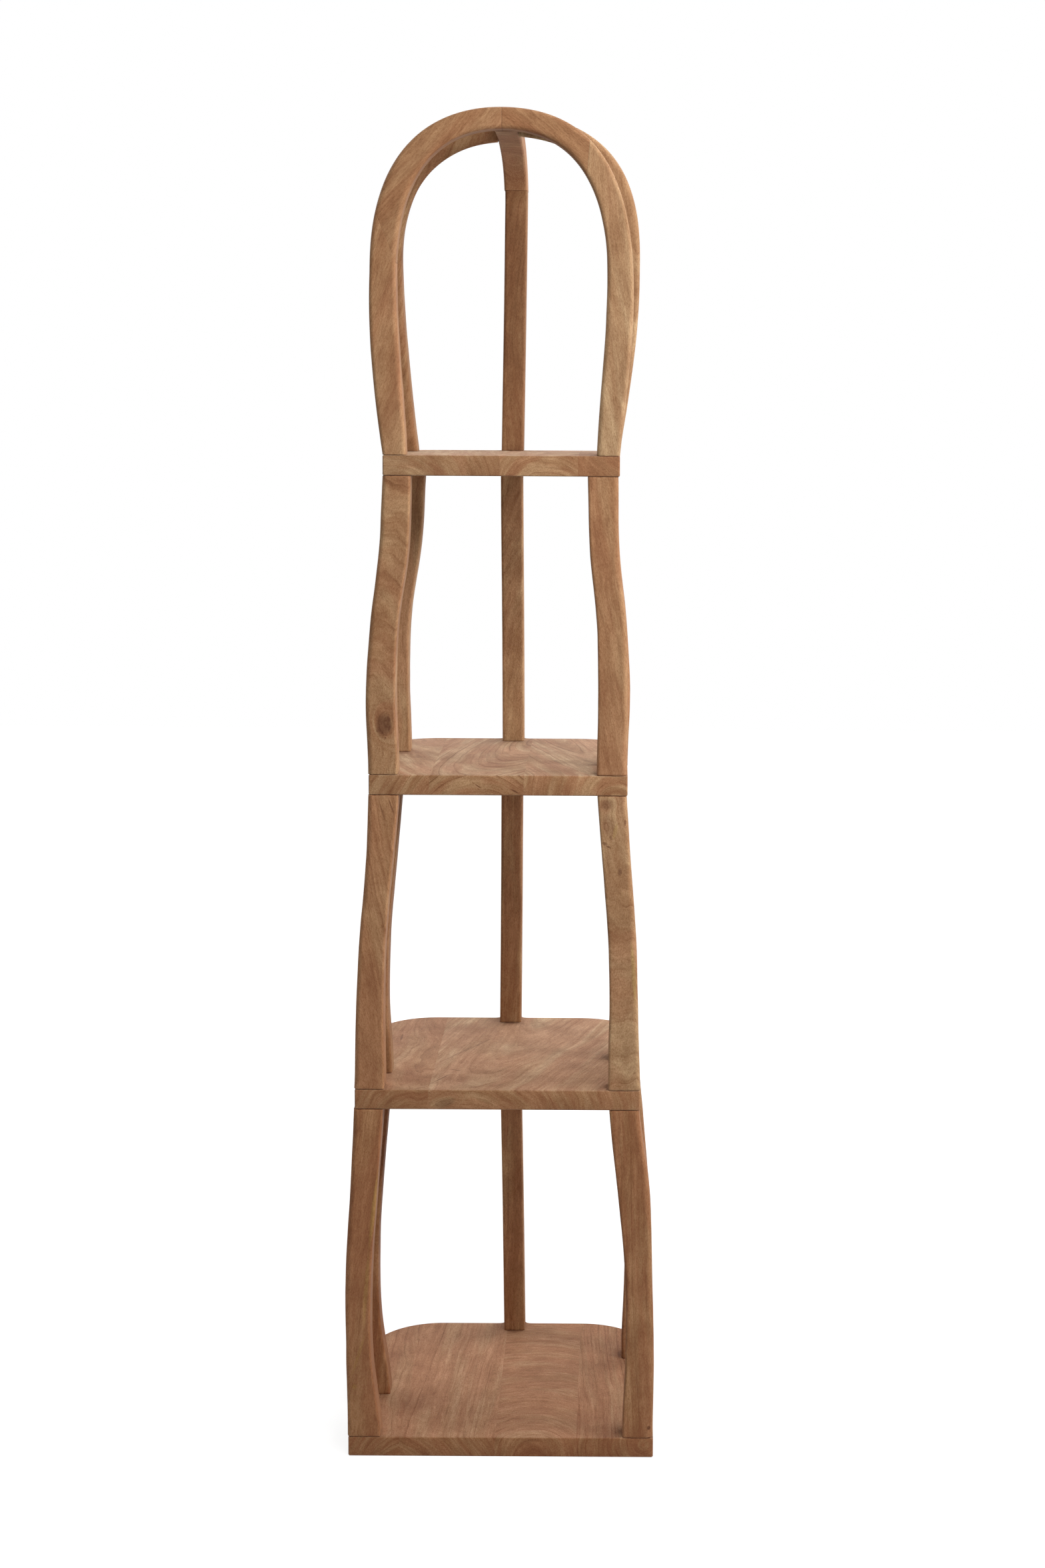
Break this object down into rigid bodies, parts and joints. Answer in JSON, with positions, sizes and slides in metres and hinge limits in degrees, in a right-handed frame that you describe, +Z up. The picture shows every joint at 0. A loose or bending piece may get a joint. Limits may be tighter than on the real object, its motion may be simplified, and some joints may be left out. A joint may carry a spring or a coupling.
{
  "type": "display shelf",
  "caption": "Tall narrow wooden display shelf with square boards that get smaller upwards, wavy sawn posts and a crown of arches joined by a curved spine.",
  "frame": {"origin": "on the floor, at the middle of the shelf's outer box", "axes": "+Z up, -Y the front that faces the room, +X the right-hand side seen from the front"},
  "size_m": [0.42, 0.413, 1.8],
  "materials": {
    "boards": "oiled, satin",
    "posts": "oiled, satin",
    "crown": "oiled, satin",
    "back_posts": "oiled, satin",
    "dowels": "bare"
  },
  "bodies": {
    "root": {"bottom_shelf_stave_1": "boards", "bottom_shelf_stave_2": "boards", "bottom_shelf_stave_3": "boards", "bottom_shelf_stave_4": "boards", "second_shelf_stave_1": "boards", "second_shelf_stave_2": "boards", "third_shelf_stave_1": "boards", "third_shelf_stave_2": "boards", "third_shelf_stave_3": "boards", "top_shelf_stave_1": "boards", "top_shelf_stave_2": "boards", "top_shelf_stave_3": "boards", "bottom_front_left_post": "posts", "bottom_front_right_post": "posts", "bottom_side_left_post": "posts", "bottom_side_right_post": "posts", "bottom_back_post": "back_posts", "middle_front_left_post": "posts", "middle_front_right_post": "posts", "middle_side_left_post": "posts", "middle_side_right_post": "posts", "middle_back_post": "back_posts", "upper_front_left_post": "posts", "upper_front_right_post": "posts", "upper_side_left_post": "posts", "upper_side_right_post": "posts", "upper_back_post": "back_posts", "crown_front_arch_left_top": "crown", "crown_front_arch_left_leg": "crown", "crown_front_arch_right_top": "crown", "crown_front_arch_right_leg": "crown", "crown_side_arch_left": "crown", "crown_side_arch_right": "crown", "crown_back_post": "back_posts", "crown_spine": "back_posts", "dowel_bottom_shelf_front_left_foot": "dowels", "dowel_bottom_shelf_front_right_foot": "dowels", "dowel_bottom_shelf_side_left_foot": "dowels", "dowel_bottom_shelf_side_right_foot": "dowels", "dowel_bottom_shelf_back_foot": "dowels", "dowel_second_shelf_front_left": "dowels", "dowel_second_shelf_front_right": "dowels", "dowel_second_shelf_side_left_foot": "dowels", "dowel_second_shelf_side_left_head": "dowels", "dowel_second_shelf_side_right_foot": "dowels", "dowel_second_shelf_side_right_head": "dowels", "dowel_second_shelf_back": "dowels", "dowel_third_shelf_front_left": "dowels", "dowel_third_shelf_front_right": "dowels", "dowel_third_shelf_side_left_foot": "dowels", "dowel_third_shelf_side_left_head": "dowels", "dowel_third_shelf_side_right_foot": "dowels", "dowel_third_shelf_side_right_head": "dowels", "dowel_third_shelf_back": "dowels", "dowel_top_shelf_front_left": "dowels", "dowel_top_shelf_front_right": "dowels", "dowel_top_shelf_side_left": "dowels", "dowel_top_shelf_side_right": "dowels", "dowel_top_shelf_back": "dowels"}
  },
  "joints": []
}
